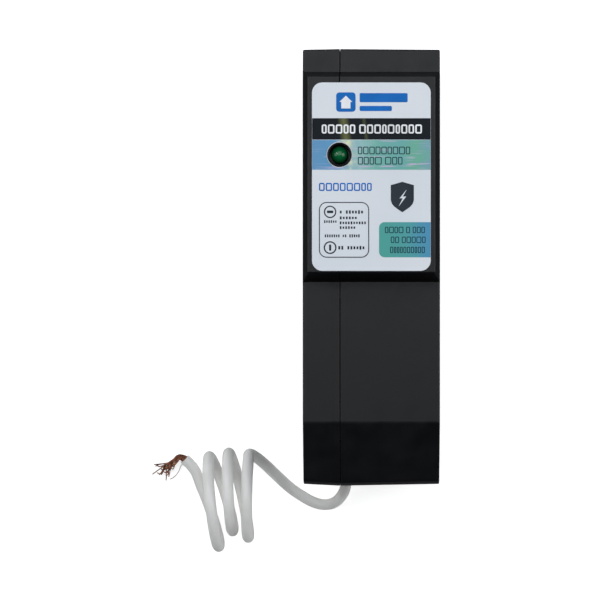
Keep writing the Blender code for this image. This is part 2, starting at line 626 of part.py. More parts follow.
def build_disconnectors():
    """The arms that open when a varistor overheats, on their pins, with springs and braids."""
    for number, (y, z) in enumerate(ARM_PIVOTS, 1):
        name = f"disconnect_arm_{number}"
        tip = rounded_rectangle((y - ARM_LENGTH, z - ARM_WIDTH / 2), (y, z + ARM_WIDTH / 2), ARM_CORNER)
        arm = add_object(name, prism(name, tip, ARM_X, ARM_X + ARM_THICKNESS), "brass", (0.0, y, z))
        join(arm, prism("hub_" + name, circle((y, z), HUB_RADIUS), ARM_X, ARM_X + HUB_LENGTH))
        cut(arm, prism("eye_" + name, circle((y, z), PIN_RADIUS + GAP, 16), ARM_X - WALL,
                       ARM_X + HUB_LENGTH + WALL))

        head = ARM_X - GAP
        crown = head - PIN_HEAD_THICKNESS
        seat = POST_FACE_X + PIN_SEAT_DEPTH
        profile = [(0.0, crown), (PIN_HEAD_RADIUS, crown), (PIN_HEAD_RADIUS, head),
                   (PIN_RADIUS, head), (PIN_RADIUS, seat), (0.0, seat)]
        add_object(f"disconnect_pin_{number}", turned(f"disconnect_pin_{number}", profile, (0.0, y, z),
                   "X", 16), "spring_steel")

        tube(f"disconnect_spring_{number}", torsion_spring(y, z), SPRING_WIRE_RADIUS, "spring_steel", 1)
        braid = smooth_path(in_metres(BRAID_ROUTES[number - 1]), BRAID_SPACING)
        tube(f"flex_braid_{number}", braid, BRAID_RADIUS, "bare_copper")


def torsion_spring(y, z):
    """Points of a torsion spring round a pin: a leg, three turns and a second leg."""
    radius = SPRING_COIL_RADIUS
    start_x = ARM_X + HUB_LENGTH + SPRING_CLEARANCE
    end_x = POST_FACE_X - SPRING_CLEARANCE
    points = [(start_x, y - SPRING_ARM_LEG, z + radius)]
    steps = SPRING_TURNS * SPRING_POINTS_PER_TURN
    for step in range(steps + 1):
        share = step / steps
        angle = math.pi / 2 + 2 * math.pi * SPRING_TURNS * share
        points.append((start_x + (end_x - start_x) * share, y + radius * math.cos(angle),
                       z + radius * math.sin(angle)))
    points.append((end_x, y + SPRING_CASE_LEG, z + radius))
    return points


# ---- circuit board and what it carries ------------------------------------------------
def build_board():
    """The board beside the parting line, with its small components."""
    right = BOARD_X + BOARD_THICKNESS
    outline = [(y * MM, z * MM) for y, z in BOARD_OUTLINE]
    add_object("circuit_board", prism("circuit_board", outline, BOARD_X, right), "green_laminate")

    face = BOARD_X - GAP
    blocks = (("film_capacitor", CAPACITOR_THICKNESS, CAPACITOR_LOW, CAPACITOR_HIGH, "yellow_film"),
              ("neutral_terminal", TERMINAL_THICKNESS, TERMINAL_LOW, TERMINAL_HIGH, "tinned_copper"))
    for name, thickness, low, high, finish in blocks:
        add_object(name, box(name, (face - thickness, *low), (face, *high)), finish)
    for number, place in enumerate(RESISTOR_PLACES, 1):
        build_axial(f"resistor_{number}", place, RESISTOR_RADIUS, RESISTOR_LENGTH, "tan_epoxy")
    build_axial("rectifier_diode", DIODE_PLACE, DIODE_RADIUS, DIODE_LENGTH, "black_plastic")
    add_object("fuse_barrier", box("fuse_barrier", BARRIER_LOW, BARRIER_HIGH), "grey_board")


def build_axial(name, place, radius, length, finish):
    """A small round component lying along Y beside the board, with thicker ends round its caps."""
    half = length / 2
    waist = radius * 0.86
    cap_start = half * 0.62
    waist_start = half * 0.5
    edge = radius * 0.8
    rim = half - radius * 0.3
    profile = [(0.0, -half), (edge, -half), (radius, -rim), (radius, -cap_start), (waist, -waist_start),
               (waist, waist_start), (radius, cap_start), (radius, rim), (edge, half), (0.0, half)]
    centre = (BOARD_X - GAP - radius, *place)
    add_object(name, turned(name, profile, centre, "Y", 14), finish)


# ---- neutral lead ---------------------------------------------------------------------
def build_pigtail():
    """The free neutral lead: its straight stretches as tubes and its coil as one turned ring."""
    flange = BUSHING_FLANGE_THICKNESS
    outer = TAIL_END_Y - GAP - flange
    wall_in = TAIL_LIP_Y + WALL + GAP
    profile = [(BUSHING_BORE, outer), (BUSHING_FLANGE, outer), (BUSHING_FLANGE, outer + flange),
               (BUSHING_BARREL, outer + flange), (BUSHING_BARREL, wall_in), (BUSHING_FLANGE, wall_in),
               (BUSHING_FLANGE, wall_in + flange), (BUSHING_BORE, wall_in + flange)]
    centre = (WIRE_EXIT.x, 0.0, WIRE_EXIT.z)
    add_object("wire_bushing", turned("wire_bushing", profile, centre, "Y", 24), "black_plastic")

    stretches = (("neutral_lead_inner", INNER_ROUTE, 1.2 * WIRE_DIAMETER),
                 ("pigtail_lead", LEAD_ROUTE, 1.2 * WIRE_DIAMETER),
                 ("pigtail_tail", TAIL_ROUTE, 2 * WIRE_DIAMETER))
    for name, route, spacing in stretches:
        tube(name, smooth_path(in_metres(route), spacing), WIRE_RADIUS, "white_insulation")

    half = COIL_RING_HALF_LENGTH
    ring = [(COIL_RING_INNER, -half), (COIL_RING_OUTER, -half), (COIL_RING_OUTER, half),
            (COIL_RING_INNER, half)]
    add_object("pigtail_coil", turned("pigtail_coil", ring, COIL_RING_CENTRE, "X", 32), "white_insulation")
    strands = smooth_path(in_metres(STRAND_ROUTE), STRAND_SPACING)
    tube("stripped_strands", strands, STRAND_BUNDLE_RADIUS, "bare_copper")


# ---- build ----------------------------------------------------------------------------
def build():
    for old in list(bpy.data.objects):
        bpy.data.objects.remove(old, do_unlink=True)
    build_case()
    build_rivets()
    build_label()
    build_lamp()
    build_pole(1, POLE_PITCH / 2, POLE_PITCH / 2 + LINK_SIDE_STEP)
    build_pole(2, -POLE_PITCH / 2, -POLE_PITCH / 2)
    build_varistors()
    build_disconnectors()
    build_board()
    build_pigtail()


build()
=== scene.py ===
"""Looks of the whole house surge protector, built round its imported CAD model.

Lengths are in metres in the CAD frame: +Z out of the label, +Y to the bus end, X across.
"""
import json
import math
import random

import bmesh
import bpy
from mathutils import Matrix, Vector


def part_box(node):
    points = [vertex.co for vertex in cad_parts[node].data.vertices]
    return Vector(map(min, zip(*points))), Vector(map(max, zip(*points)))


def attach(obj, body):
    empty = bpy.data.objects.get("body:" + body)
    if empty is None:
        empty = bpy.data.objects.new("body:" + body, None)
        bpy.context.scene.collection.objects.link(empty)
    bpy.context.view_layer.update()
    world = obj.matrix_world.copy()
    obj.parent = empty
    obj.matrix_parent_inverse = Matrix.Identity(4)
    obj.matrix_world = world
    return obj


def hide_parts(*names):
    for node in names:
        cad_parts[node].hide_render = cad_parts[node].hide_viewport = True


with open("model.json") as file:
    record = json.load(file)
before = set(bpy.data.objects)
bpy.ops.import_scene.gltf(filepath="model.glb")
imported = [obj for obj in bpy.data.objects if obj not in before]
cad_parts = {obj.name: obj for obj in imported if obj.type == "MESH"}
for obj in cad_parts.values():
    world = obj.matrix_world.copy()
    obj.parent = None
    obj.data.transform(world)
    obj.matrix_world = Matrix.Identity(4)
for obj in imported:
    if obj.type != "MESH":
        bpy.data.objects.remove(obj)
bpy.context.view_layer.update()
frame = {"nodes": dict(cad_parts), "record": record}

MM = 0.001
NODES = frame["nodes"]


# ---- camera ---------------------------------------------------------------------------
SHOULDER_Z = 56.0 * MM
CAMERA_HEIGHT = SHOULDER_Z + 600.0 * MM
VIEW_WIDTH = 166.5 * MM              # what the frame takes in at the shoulder's height
VIEW_MIDDLE = (-19.8 * MM, -8.3 * MM)
CAMERA_Y = 1.0 * MM
SENSOR = 36.0


def make_camera():
    """A long lens straight above the case, shifted so that the case stands right of the middle."""
    data = bpy.data.cameras.new("camera")
    data.sensor_width = SENSOR
    data.lens = SENSOR * (CAMERA_HEIGHT - SHOULDER_Z) / VIEW_WIDTH
    data.shift_x = VIEW_MIDDLE[0] / VIEW_WIDTH
    data.shift_y = (VIEW_MIDDLE[1] - CAMERA_Y) / VIEW_WIDTH
    data.clip_end = 20.0
    camera = bpy.data.objects.new("camera", data)
    camera.location = (0.0, CAMERA_Y, CAMERA_HEIGHT)
    bpy.context.scene.collection.objects.link(camera)
    bpy.context.scene.camera = camera


def box_centre(node):
    """The middle of a CAD node's box."""
    low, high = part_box(node)
    return (low + high) / 2


# ---- materials ------------------------------------------------------------------------
NOISE_LOW, NOISE_HIGH = 0.3, 0.7     # most of a noise's values lie between these
PAINTED_GLINT_X = -1.9 * MM                  # where the label's painted highlight streak would cross y = 0
# a second, fainter painted highlight streak beside the first
SECOND_PAINTED_GLINT_X = PAINTED_GLINT_X + 5.6 * MM
PAINTED_GLINT_LEAN = 0.14                    # how far the painted highlight streaks lean for each unit up the label


class Shader:
    """A Principled material and short calls that add its procedural nodes."""

    def __init__(self, name, colour, roughness, metallic=0.0, **sockets):
        self.material = bpy.data.materials.new(name)
        self.material.use_nodes = True
        self.tree = self.material.node_tree
        self.principled = self.tree.nodes["Principled BSDF"]
        self.set("Base Color", (*colour, 1.0))
        self.set("Roughness", roughness)
        self.set("Metallic", metallic)
        for socket, value in sockets.items():
            self.set(socket.replace("_", " "), value)
        self.place = self.node("ShaderNodeTexCoord").outputs["Object"]

    def node(self, kind, **values):
        made = self.tree.nodes.new(kind)
        for key, value in values.items():
            setattr(made, key, value)
        return made

    def link(self, source, target):
        self.tree.links.new(source, target)

    def set(self, socket, value):
        self.principled.inputs[socket].default_value = value

    def stretched(self, scale):
        """Object coordinates in units that differ per axis."""
        mapping = self.node("ShaderNodeMapping")
        mapping.inputs["Scale"].default_value = scale
        self.link(self.place, mapping.inputs["Vector"])
        return mapping.outputs["Vector"]

    def noise(self, scale, detail=3.0, vector=None, roughness=0.5, distortion=0.0):
        made = self.node("ShaderNodeTexNoise")
        made.inputs["Scale"].default_value = scale
        made.inputs["Detail"].default_value = detail
        made.inputs["Roughness"].default_value = roughness
        made.inputs["Distortion"].default_value = distortion
        self.link(vector or self.place, made.inputs["Vector"])
        return made.outputs["Fac"]

    def ramp(self, source, stops):
        made = self.node("ShaderNodeValToRGB")
        elements = made.color_ramp.elements
        while len(elements) < len(stops):
            elements.new(0.5)
        for element, (position, colour) in zip(elements, stops):
            element.position = position
            element.color = (*colour, 1.0)
        self.link(source, made.inputs["Fac"])
        return made.outputs["Color"]

    def spread(self, source, low, high, from_low=0.0, from_high=1.0):
        made = self.node("ShaderNodeMapRange")
        made.inputs["From Min"].default_value = from_low
        made.inputs["From Max"].default_value = from_high
        made.inputs["To Min"].default_value = low
        made.inputs["To Max"].default_value = high
        self.link(source, made.inputs["Value"])
        return made.outputs["Result"]

    def axis(self, name):
        made = self.node("ShaderNodeSeparateXYZ")
        self.link(self.place, made.inputs["Vector"])
        return made.outputs[name]

    def math(self, operation, first, second):
        made = self.node("ShaderNodeMath", operation=operation)
        for socket, value in zip(made.inputs, (first, second)):
            if isinstance(value, (int, float)):
                socket.default_value = value
            else:
                self.link(value, socket)
        return made.outputs["Value"]

    def mix(self, factor, first, second):
        """Blend two colours; a Mix node's colour sockets come after its number and vector ones."""
        made = self.node("ShaderNodeMix", data_type="RGBA")
        sockets = (made.inputs[0], made.inputs[6], made.inputs[7])
        for socket, value in zip(sockets, (factor, first, second)):
            if isinstance(value, tuple):
                socket.default_value = (*value, 1.0)
            else:
                self.link(value, socket)
        return made.outputs[2]

    def moved_by(self, value, noise, amount):
        """A value moved up and down by a noise."""
        centred = self.math("SUBTRACT", noise, 0.5)
        return self.math("ADD", value, self.math("MULTIPLY", centred, amount))

    def leaning_x(self):
        """X, taken so that it stays the same all along a leaning painted highlight streak."""
        lean = self.math("MULTIPLY", self.axis("Y"), PAINTED_GLINT_LEAN)
        return self.math("ADD", self.axis("X"), lean)

    def streak(self, value, centre, half_width):
        """1 on a line and falling to 0 at half_width on each side of it."""
        away = self.math("ABSOLUTE", self.math("SUBTRACT", value, centre), 0.0)
        return self.spread(away, 1.0, 0.0, 0.0, half_width)

    def colour(self, source):
        self.link(source, self.principled.inputs["Base Color"])

    def drift(self, noise, dark, light):
        """A base colour that drifts between two colours with a noise."""
        self.colour(self.ramp(noise, [(NOISE_LOW, dark), (NOISE_HIGH, light)]))

    def roughness(self, source):
        self.link(source, self.principled.inputs["Roughness"])

    def uneven_gloss(self, noise, low, high):
        """A roughness that varies between two values with a noise."""
        self.roughness(self.spread(noise, low, high, NOISE_LOW, NOISE_HIGH))

    def bump(self, source, distance, strength=1.0):
        made = self.node("ShaderNodeBump")
        made.inputs["Distance"].default_value = distance
        made.inputs["Strength"].default_value = strength
        self.link(source, made.inputs["Height"])
        self.link(made.outputs["Normal"], self.principled.inputs["Normal"])


def tinted(colour, factor):
    return tuple(min(value * factor, 1.0) for value in colour)


def mottled(name, colour, roughness, grain=900.0, depth=0.01 * MM, vary=0.12, **sockets):
    """A moulded, cast or coated surface: slow colour drift, uneven gloss and a fine grain."""
    shader = Shader(name, colour, roughness, **sockets)
    shader.drift(shader.noise(45.0, 2.0), tinted(colour, 1 - vary), tinted(colour, 1 + vary))
    shader.uneven_gloss(shader.noise(260.0, 4.0), roughness * 0.82, roughness * 1.18)
    shader.bump(shader.noise(grain, 2.0), depth)
    return shader.material


def brushed(name, colour, roughness, along):
    """Rolled or plated metal with fine lines along one axis."""
    shader = Shader(name, colour, roughness, 1.0)
    fine, long = 9000.0, 300.0
    scale = {"Y": (fine, long, fine), "Z": (fine, fine, long)}[along]
    lines = shader.noise(1.0, 2.0, shader.stretched(scale))
    shader.drift(shader.noise(120.0, 3.0), tinted(colour, 0.82), colour)
    shader.uneven_gloss(lines, roughness * 0.75, roughness * 1.35)
    shader.bump(lines, 0.004 * MM, 0.6)
    return shader.material


def case_material():
    """Satin charcoal thermoplastic with a fine moulded grain and faint scuffs."""
    colour = (0.0022, 0.0025, 0.0033)
    shader = Shader("case_plastic", colour, 0.42, Specular_IOR_Level=0.32)
    shader.drift(shader.noise(28.0, 3.0), tinted(colour, 0.8), tinted(colour, 1.25))
    scuffs = shader.noise(1.0, 5.0, shader.stretched((420.0, 60.0, 420.0)), 0.6, 0.4)
    worn = shader.math("MULTIPLY", scuffs, 0.12)
    satin = shader.spread(shader.noise(170.0, 4.0), 0.3, 0.42, NOISE_LOW, NOISE_HIGH)
    shader.roughness(shader.math("ADD", satin, worn))
    shader.bump(shader.noise(5200.0, 2.0), 0.006 * MM, 0.8)
    return shader.material


def foil_material():
    """Silver-white printed foil that drifts slightly from cool to warm."""
    shader = Shader("label_foil", (0.6, 0.64, 0.7), 0.36, 0.0, Specular_IOR_Level=0.3)
    shader.drift(shader.noise(40.0, 2.0), (0.64, 0.685, 0.735), (0.70, 0.735, 0.775))
    shader.uneven_gloss(shader.noise(1500.0, 2.0), 0.3, 0.42)
    shader.bump(shader.noise(700.0, 3.0), 0.004 * MM, 0.5)
    return shader.material


def ink_material(name, colour, glint=None):
    """Printed ink with a faint unevenness; `glint` is the colour of two painted highlight streaks across
    it.
    """
    shader = Shader(name, colour, 0.35, Specular_IOR_Level=0.12)
    stops = [(NOISE_LOW, tinted(colour, 0.88)), (NOISE_HIGH, tinted(colour, 1.12))]
    painted = shader.ramp(shader.noise(130.0, 3.0), stops)
    if glint:
        # Two leaning streaks of painted highlight, mixed into the ink's own colour.
        across = shader.leaning_x()
        first = shader.streak(across, PAINTED_GLINT_X, 1.7 * MM)
        second = shader.math("MULTIPLY", shader.streak(across, SECOND_PAINTED_GLINT_X, 0.7 * MM), 0.45)
        painted = shader.mix(shader.math("MAXIMUM", first, second), painted, glint)
    shader.colour(painted)
    shader.bump(shader.noise(2500.0, 2.0), 0.002 * MM, 0.5)
    return shader.material


def hologram_material():
    """Diffraction foil: blue to teal along the band, with pink lines and one yellow painted highlight
    streak.
    """
    shader = Shader("hologram_foil", (0.15, 0.45, 0.45), 0.28, Specular_IOR_Level=0.25)
    wander = shader.noise(1.0, 3.0, shader.stretched((160.0, 420.0, 1.0)), 0.5, 0.6)
    along = shader.spread(shader.axis("X"), 0.0, 1.0, -16.2 * MM, 16.2 * MM)
    base = shader.ramp(shader.moved_by(along, wander, 0.22),
                       [(0.0, (0.10, 0.28, 0.49)), (0.22, (0.09, 0.29, 0.51)),
                        (0.4, (0.27, 0.48, 0.48)), (0.52, (0.15, 0.42, 0.36)),
                        (0.72, (0.13, 0.38, 0.37)), (0.88, (0.13, 0.40, 0.29)),
                        (1.0, (0.16, 0.35, 0.40))])
    lines = shader.noise(1.0, 2.0, shader.stretched((60.0, 1500.0, 1.0)), 0.5, 0.2)
    pink = shader.math("MULTIPLY", shader.spread(lines, 0.0, 1.0, 0.55, 0.68),
                       shader.spread(wander, 0.0, 1.0, 0.42, 0.6))
    tinted_base = shader.mix(pink, base, (0.50, 0.42, 0.62))
    # The yellow streak is painted highlight, leaning like the ink's painted streaks.
    painted_highlight = shader.math("MULTIPLY", shader.streak(shader.leaning_x(), PAINTED_GLINT_X, 3.0 * MM),
                       shader.spread(shader.noise(420.0, 3.0), 0.2, 1.0, 0.42, 0.6))
    shader.colour(shader.mix(painted_highlight, tinted_base, (0.72, 0.76, 0.47)))
    shader.bump(shader.noise(1200.0, 2.0), 0.003 * MM, 0.5)
    return shader.material


def teal_material():
    """The small panel's foil ink, teal on the left and bluer to the right edge."""
    shader = Shader("teal_foil", (0.1, 0.4, 0.35), 0.3, Specular_IOR_Level=0.25)
    along = shader.spread(shader.axis("X"), 0.0, 1.0, 2.0 * MM, 16.2 * MM)
    shader.colour(shader.ramp(shader.moved_by(along, shader.noise(150.0, 3.0), 0.3),
                              [(0.1, (0.06, 0.33, 0.29)), (0.6, (0.065, 0.32, 0.34)),
                               (0.95, (0.06, 0.26, 0.44))]))
    shader.bump(shader.noise(1200.0, 2.0), 0.003 * MM, 0.5)
    return shader.material


SHADED_RIM_RADIUS = 2.5 * MM               # painted shade makes the lens darkest this far from its middle


def lens_material():
    """Dark green tinted epoxy, brighter towards its middle and darker towards its rim by painted shading,
    with a polished skin.
    """
    shader = Shader("led_green", (0.0, 0.09, 0.02), 0.16, Specular_IOR_Level=0.4)
    centre = box_centre("led_lens")
    across = shader.math("SUBTRACT", shader.axis("X"), centre.x)
    up = shader.math("SUBTRACT", shader.axis("Y"), centre.y)
    squared = shader.math("ADD", shader.math("MULTIPLY", across, across), shader.math("MULTIPLY", up, up))
    share = shader.math("DIVIDE", shader.math("SQRT", squared, 0.0), SHADED_RIM_RADIUS)
    wander = shader.math("MULTIPLY", shader.noise(900.0, 3.0), 0.25)
    # Painted shading: bright in the middle, falling to dark towards the rim.
    shader.colour(shader.ramp(shader.math("ADD", share, wander),
                              [(0.1, (0.002, 0.14, 0.04)), (0.75, (0.001, 0.07, 0.02)),
                               (1.0, (0.0, 0.04, 0.013))]))
    return shader.material


def wire_material():
    """Slightly translucent white PVC with a soft sheen."""
    shader = Shader("wire_insulation", (0.6, 0.62, 0.61), 0.4, Subsurface_Weight=0.25,
                    Subsurface_Scale=1.5 * MM, Subsurface_Radius=(1.0, 1.0, 0.9))
    shader.drift(shader.noise(140.0, 4.0), (0.71, 0.71, 0.69), (0.77, 0.77, 0.75))
    shader.uneven_gloss(shader.noise(600.0, 3.0), 0.32, 0.5)
    shader.bump(shader.noise(1800.0, 2.0), 0.01 * MM, 0.4)
    return shader.material


def copper_material(name, dull, middle, bright):
    """Bare copper, from bright salmon to brown tarnish along the strands."""
    shader = Shader(name, middle, 0.34, 1.0)
    cloud = shader.noise(900.0, 4.0, None, 0.6)
    shader.colour(shader.ramp(cloud, [(0.32, dull), (0.5, middle), (0.7, bright)]))
    shader.uneven_gloss(cloud, 0.28, 0.55)
    shader.bump(shader.noise(6000.0, 2.0), 0.006 * MM, 0.5)
    return shader.material


def laminate_material():
    """Green solder mask over a woven glass laminate."""
    shader = Shader("board_laminate", (0.02, 0.14, 0.06), 0.38)
    weave = shader.node("ShaderNodeTexBrick")
    weave.inputs["Scale"].default_value = 900.0
    weave.inputs["Color1"].default_value = (0.014, 0.12, 0.05, 1.0)
    weave.inputs["Color2"].default_value = (0.022, 0.15, 0.065, 1.0)
    weave.inputs["Mortar"].default_value = (0.03, 0.18, 0.08, 1.0)
    turned = shader.node("ShaderNodeMapping")
    turned.inputs["Rotation"].default_value = (0.0, math.pi / 2, 0.0)
    shader.link(shader.place, turned.inputs["Vector"])
    shader.link(turned.outputs["Vector"], weave.inputs["Vector"])
    shader.colour(weave.outputs["Color"])
    shader.bump(weave.outputs["Fac"], 0.01 * MM, 0.5)
    return shader.material


def make_materials():
    """One material for each slot of the record, the label's inks and the bright strand."""
    return {
        "case_plastic": case_material(),
        "label_foil": foil_material(),
        "led_green": lens_material(),
        "trim_plastic": mottled("trim_plastic", (0.003, 0.003, 0.0035), 0.34, grain=2600.0,
                                Specular_IOR_Level=0.12),
        "tinned_metal": brushed("tinned_metal", (0.62, 0.6, 0.56), 0.3, "Z"),
        "rivet_steel": brushed("rivet_steel", (0.42, 0.42, 0.42), 0.32, "Y"),
        "spring_steel": brushed("spring_steel", (0.34, 0.34, 0.35), 0.3, "Z"),
        "arm_brass": brushed("arm_brass", (0.62, 0.42, 0.16), 0.3, "Y"),
        "board_laminate": laminate_material(),
        "varistor_epoxy": mottled("varistor_epoxy", (0.012, 0.075, 0.32), 0.28, grain=500.0,
                                  depth=0.03 * MM, Coat_Weight=0.4),
        "fuse_ceramic": mottled("fuse_ceramic", (0.72, 0.71, 0.67), 0.3, grain=1500.0, vary=0.05),
        "capacitor_film": mottled("capacitor_film", (0.66, 0.42, 0.03), 0.32, grain=900.0),
        "resistor_body": mottled("resistor_body", (0.5, 0.34, 0.16), 0.42, grain=1400.0),
        "diode_body": mottled("diode_body", (0.012, 0.012, 0.012), 0.4, grain=1800.0),
        "barrier_board": mottled("barrier_board", (0.15, 0.15, 0.14), 0.75, grain=2200.0, depth=0.03 * MM),
        "wire_insulation": wire_material(),
        "copper_strands": copper_material("copper_strands", (0.11, 0.04, 0.024), (0.28, 0.115, 0.07),
                                          (0.62, 0.34, 0.22)),
        "bright_strand": copper_material("bright_strand", (0.4, 0.3, 0.25), (0.6, 0.5, 0.44),
                                         (0.8, 0.72, 0.66)),
        # The black band's ink carries olive painted highlight streaks.
        "ink_black": ink_material("ink_black", (0.002, 0.0055, 0.0095), (0.12, 0.13, 0.045)),
        "ink_dark": ink_material("ink_dark", (0.022, 0.03, 0.04)),
        "ink_grey": ink_material("ink_grey", (0.022, 0.06, 0.065)),
        "ink_white": ink_material("ink_white", (0.78, 0.8, 0.82)),
        "ink_blue": ink_material("ink_blue", (0.003, 0.13, 0.46)),
        "ink_teal_dark": ink_material("ink_teal_dark", (0.01, 0.05, 0.07)),
        "hologram_foil": hologram_material(),
        "teal_foil": teal_material(),
    }


MATERIALS = {}                       # by name, filled before the first piece is made


# ---- mesh helpers ---------------------------------------------------------------------
SHARP_FOLD = math.radians(35)
MERGE_DISTANCE = 0.001 * MM


def add_piece(name, mesh, material, replaces=()):
    """Link a mesh as a piece of the fixed body that takes its finish from a slot."""
    piece = bpy.data.objects.new(name, mesh)
    bpy.context.scene.collection.objects.link(piece)
    mesh.materials.clear()
    mesh.materials.append(MATERIALS[material])
    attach(piece, "root")
    if replaces:
        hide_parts(*replaces)
    return piece


def mesh_from(bm, name):
    """Turn a bmesh into a smooth mesh with sharp folds, and free it."""
    bmesh.ops.recalc_face_normals(bm, faces=bm.faces)
    mesh = bpy.data.meshes.new(name)
    bm.to_mesh(mesh)
    bm.free()
    mesh.shade_smooth()
    mesh.set_sharp_from_angle(angle=SHARP_FOLD)
    return mesh


def apply_modifiers(piece):
    """Keep what the modifiers give as the piece's mesh."""
    evaluated = piece.evaluated_get(bpy.context.evaluated_depsgraph_get())
    mesh = bpy.data.meshes.new_from_object(evaluated)
    piece.modifiers.clear()
    piece.data = mesh
    return mesh


def turned(name, profile, centre, axis="Z", segments=64):
    """Turn a closed profile of (radius, height) pairs about an axis through `centre`."""
    bm = bmesh.new()
    rings = []
    for i in range(segments):
        angle = 2 * math.pi * i / segments
        rings.append([bm.verts.new((radius * math.cos(angle), radius * math.sin(angle), height))
                      for radius, height in profile])
    for i in range(segments):
        here, there = rings[i], rings[(i + 1) % segments]
        for j in range(len(profile)):
            after = (j + 1) % len(profile)
            bm.faces.new((here[j], there[j], there[after], here[after]))
    bmesh.ops.remove_doubles(bm, verts=bm.verts, dist=MERGE_DISTANCE)
    turn = {"Z": Matrix.Identity(4), "X": Matrix.Rotation(math.pi / 2, 4, "Y"),
            "Y": Matrix.Rotation(-math.pi / 2, 4, "X")}[axis]
    bmesh.ops.transform(bm, matrix=Matrix.Translation(Vector(centre)) @ turn, verts=bm.verts)
    return mesh_from(bm, name)


def rounded(profile, radius, steps=4):
    """Round every corner of a closed profile of pairs by up to `radius`."""
    most = 0.45                          # of a side, so that two corners leave a flat between them
    points = [Vector(point) for point in profile]
    out = []
    for index, corner in enumerate(points):
        before = points[index - 1] - corner
        after = points[(index + 1) % len(points)] - corner
        reach = min(radius, before.length * most, after.length * most)
        start = corner + before.normalized() * reach
        end = corner + after.normalized() * reach
        for step in range(steps + 1):
            share = step / steps
            out.append(tuple(start.lerp(corner, share).lerp(corner.lerp(end, share), share)))
    return out


# ---- case -----------------------------------------------------------------------------
EDGE_ROUND = 0.45 * MM
EDGE_STEPS = 3
SEAM_ROUND = 0.26 * MM
SEAM_GAP = 0.08 * MM                 # what is left between the shells at the parting line
SEAM_FACE_DEPTH = 0.01 * MM          # points this near to a shell's inner side are on its seam
FLAT_FOLD = math.radians(0.6)        # faces that meet at less than this are one face
SHORTEST_ROUNDED_EDGE = 1.6 * MM
SHARPEST_KEPT = math.radians(14)     # outer folds above this are rounded


def shell_mesh(node, seam_x, side):
    """A CAD shell that meets the parting line, with bevel weights on its long outer edges.

    The imported corner normals are left out, because they would shade flat faces unevenly.
    """
    bm = bmesh.new()
    bm.from_mesh(NODES[node].data)
    bmesh.ops.remove_doubles(bm, verts=bm.verts, dist=MERGE_DISTANCE)
    bmesh.ops.dissolve_limit(bm, angle_limit=FLAT_FOLD, verts=bm.verts, edges=bm.edges)
    face_x = min(vert.co.x * side for vert in bm.verts) * side
    seam_verts = {vert for vert in bm.verts if abs(vert.co.x - face_x) < SEAM_FACE_DEPTH}
    for vert in seam_verts:
        vert.co.x = seam_x + side * SEAM_GAP / 2
    weight = bm.edges.layers.float.new("bevel_weight_edge")
    for edge in bm.edges:
        if edge.is_manifold and edge.calc_length() > SHORTEST_ROUNDED_EDGE:
            if edge.calc_face_angle_signed(0.0) > SHARPEST_KEPT:
                edge[weight] = SEAM_ROUND / EDGE_ROUND if seam_verts.issuperset(edge.verts) else 1.0
    mesh = mesh_from(bm, node + "_shell")
    mesh.attributes.remove(mesh.attributes["custom_normal"])
    return mesh


def make_case():
    """Both shells, with rounded edges; the parting line runs through the lamp's middle."""
    seam_x = box_centre("led_lens").x
    for node, side in (("main_case", 1), ("side_cover", -1)):
        mesh = shell_mesh(node, seam_x, side)
        shell = add_piece(node + "_shell", mesh, "case_plastic", replaces=(node,))
        rounding = shell.modifiers.new("rounding", "BEVEL")
        rounding.width = EDGE_ROUND
        rounding.segments = EDGE_STEPS
        rounding.limit_method = "WEIGHT"
        rounding.use_clamp_overlap = False
        apply_modifiers(shell).set_sharp_from_angle(angle=SHARP_FOLD)
        flat = shell.modifiers.new("flat_faces", "WEIGHTED_NORMAL")
        flat.keep_sharp = True


def make_rivets():
    """Tubular rivets: a rolled rim on each side round an open middle."""
    for number in range(1, 5):
        node = f"case_rivet_{number}"
        low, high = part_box(node)
        centre = (low + high) / 2
        head = (high.z - low.z) / 2
        reach = (high.x - low.x) / 2
        shank, bore, rim = 0.55 * head, 0.3 * head, 0.8 * MM
        # Out under the rim, round it and down into the open middle.
        side = [(head, -reach + rim), (head, -reach + 0.3 * MM), (head - 0.35 * MM, -reach),
                (bore + 0.5 * MM, -reach + 0.06 * MM), (bore, -reach + 0.5 * MM)]
        profile = [(shank, -reach + rim)] + side
        profile += [(radius, -height) for radius, height in reversed(profile)]
        mesh = turned(f"rivet_{number}", profile, centre, "X", 40)
        add_piece(f"rivet_{number}", mesh, "rivet_steel", replaces=(node,))


# ---- lamp -----------------------------------------------------------------------------
TRIM_ROUND = 0.25 * MM               # on the edges of the lamp's holder and the wire's bushing
COLLAR_STEP = 0.25 * MM              # how far the lens's collar and the holder's lip stand out
COLLAR_HEIGHT = 1.0 * MM
LIP_HEIGHT = 1.0 * MM
LAMP_GAP = 0.3 * MM
DOME_STEPS = 16


